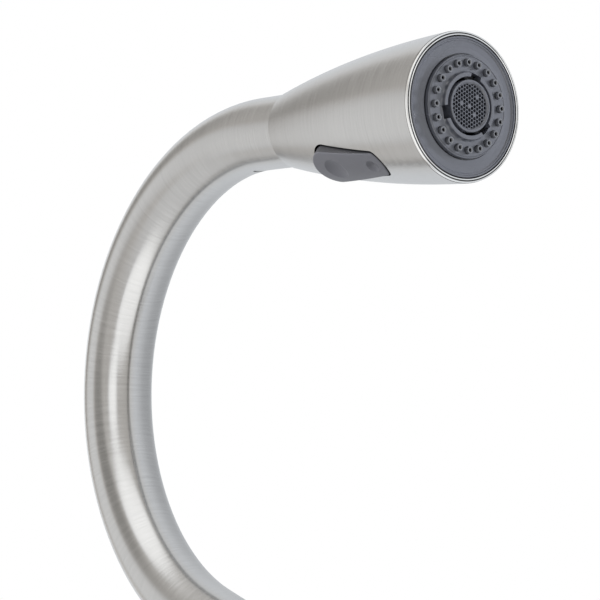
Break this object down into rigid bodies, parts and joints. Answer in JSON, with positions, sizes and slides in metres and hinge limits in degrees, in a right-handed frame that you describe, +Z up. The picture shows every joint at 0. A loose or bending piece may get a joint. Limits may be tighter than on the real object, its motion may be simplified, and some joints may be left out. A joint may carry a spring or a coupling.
{
  "type": "pull-down kitchen faucet",
  "caption": "Single-lever kitchen faucet with a high swivelling gooseneck spout and a bell-shaped pull-down spray head with a rocker that switches between stream and spray.",
  "frame": {"origin": "centre of the base's underside, on the deck and on the shank's axis", "axes": "+Z up along the riser; the spout reaches towards -Y; the lever stands on the +X side"},
  "size_m": [0.0962, 0.2759, 0.5048],
  "materials": {
    "brushed_nickel": "fine brushed around each axis",
    "polished_metal": "polished",
    "brass": "machined",
    "steel": "plain stainless steel",
    "supply_tube": "drawn stainless steel tube",
    "black_rubber": "matt",
    "white_plastic": "moulded acetal",
    "ceramic": "lapped ceramic",
    "black_plastic": "moulded, satin",
    "face_plastic": "moulded dark slate grey, satin",
    "nozzle_silicone": "soft silicone",
    "toggle_plastic": "soft-touch dark grey",
    "hose_braid": "fine nylon braid",
    "index_plastic": "plain grey plug"
  },
  "bodies": {
    "base": {"base_ring": "brushed_nickel", "deck_gasket": "black_rubber", "body_housing": "brushed_nickel", "valve_body": "brass", "neck_collar": "brushed_nickel", "threaded_shank": "brass", "rubber_washer": "black_rubber", "steel_washer": "steel", "mounting_nut": "black_plastic", "jack_screws": "steel", "hot_tube": "supply_tube", "cold_tube": "supply_tube", "mixed_tube": "supply_tube", "tube_nipples": "brass", "hose_tail_fitting": "brass", "cartridge_case": "white_plastic", "cartridge_seals": "black_rubber", "fixed_disc": "ceramic", "cartridge_nut": "brass", "dome_cap": "polished_metal", "swivel_bushes": "white_plastic", "spout_retainer_screw": "steel"},
    "rotor": {"cartridge_rotor": "white_plastic", "stem_pin": "steel"},
    "disc": {"moving_disc": "ceramic", "disc_carrier": "white_plastic"},
    "handle": {"cartridge_stem": "steel", "handle_hub": "brushed_nickel", "handle_set_screw": "steel", "index_button": "index_plastic", "handle_lever": "brushed_nickel"},
    "spout": {"spout_tube": "brushed_nickel", "dock_set_screw": "steel", "spout_sleeve": "brass", "spout_o_ring": "black_rubber", "dock_collar": "white_plastic", "spray_hose": "hose_braid"},
    "hose_end": {"hose_ferrule": "steel", "hose_washer": "black_rubber", "hose_nut": "brass"},
    "head": {"head_shell": "brushed_nickel", "rim_ring": "polished_metal", "head_core": "black_plastic", "toggle_pin": "steel", "check_valve_case": "white_plastic", "check_valve_spring": "steel", "inlet_screen": "steel", "face_ring": "face_plastic", "nozzle_plate": "face_plastic", "nozzle_mat": "nozzle_silicone", "distributor": "white_plastic", "face_seal": "black_rubber", "aerator_housing": "face_plastic", "aerator_grid": "face_plastic", "aerator_o_ring": "black_rubber"},
    "toggle": {"toggle": "toggle_plastic"},
    "diverter": {"diverter_spool": "white_plastic", "diverter_o_rings": "black_rubber"},
    "check_poppet": {"check_valve_poppet": "white_plastic"}
  },
  "joints": [
    {"name": "spout_swivel", "type": "hinge", "parent": "base", "child": "spout", "pos_m": [0, 0, 0.12], "axis": [0, 0, 1], "continuous": true},
    {"name": "pull_out", "type": "slide", "parent": "spout", "child": "hose_end", "axis": [0, -0.309, -0.9511], "range_m": [0, 0.25], "deforming": ["spray_hose"]},
    {"name": "head_swivel", "type": "hinge", "parent": "hose_end", "child": "head", "pos_m": [0, -0.19489, 0.28737], "axis": [0, -0.309, -0.9511], "continuous": true},
    {"name": "toggle_rock", "type": "hinge", "parent": "head", "child": "toggle", "pos_m": [-0.01027, -0.19806, 0.23581], "axis": [0.7826, 0.592, -0.1924], "range_deg": [0, 8.5]},
    {"name": "diverter_slide", "type": "slide", "parent": "head", "child": "diverter", "axis": [0, -0.309, -0.9511], "range_m": [0, 0.0015]},
    {"name": "check_poppet_lift", "type": "slide", "parent": "head", "child": "check_poppet", "axis": [0, -0.309, -0.9511], "range_m": [0, 0.0025], "stiffness_N_per_m": 200, "springref_m": -0.003, "deforming": ["check_valve_spring"]},
    {"name": "temperature", "type": "hinge", "parent": "base", "child": "rotor", "pos_m": [0, 0, 0.066], "axis": [1, 0, 0], "range_deg": [-45, 45]},
    {"name": "lever_lift", "type": "hinge", "parent": "rotor", "child": "handle", "pos_m": [0.044, 0, 0.066], "axis": [0, 1, 0], "range_deg": [0, 25]},
    {"name": "disc_slide", "type": "slide", "parent": "rotor", "child": "disc", "axis": [0, 0, 1], "range_m": [0, 0.0053]}
  ],
  "couplings": [
    {"joint": "diverter_slide", "follows": "toggle_rock", "m_per_rad": 0.009},
    {"joint": "disc_slide", "follows": "lever_lift", "m_per_rad": 0.011905}
  ]
}
